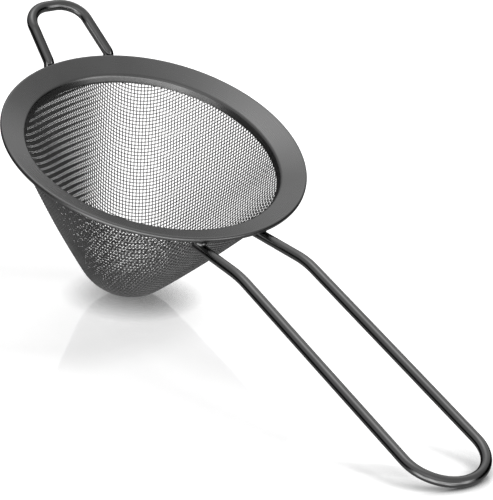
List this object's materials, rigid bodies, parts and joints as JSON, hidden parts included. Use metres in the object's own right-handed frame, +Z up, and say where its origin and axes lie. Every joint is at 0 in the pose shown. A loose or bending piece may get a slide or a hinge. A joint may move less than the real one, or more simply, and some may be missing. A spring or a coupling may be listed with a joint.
{
  "type": "tea strainer",
  "caption": "Conical fine-mesh tea strainer with a sloped double rim, a long looped wire handle and a short wire rest.",
  "frame": {"origin": "centre of the bounding box's bottom face, on the surface the strainer rests on", "axes": "+Z up; +X along the handle, away from the bowl; the strainer is mirror symmetric about the X-Z plane; it rests on the round end of the cone and the end of the handle"},
  "size_m": [0.1904, 0.085, 0.0745],
  "materials": {
    "rim": "polished gunmetal coating",
    "wire": "polished gunmetal coating",
    "mesh": "woven gunmetal steel wire"
  },
  "bodies": {
    "root": {"rim_flange": "rim", "backing_ring": "rim", "mesh_cone": "mesh", "handle_wire": "wire", "rest_wire": "wire", "handle_weld_left": "wire", "handle_weld_right": "wire", "rest_weld_left": "wire", "rest_weld_right": "wire"}
  },
  "joints": []
}
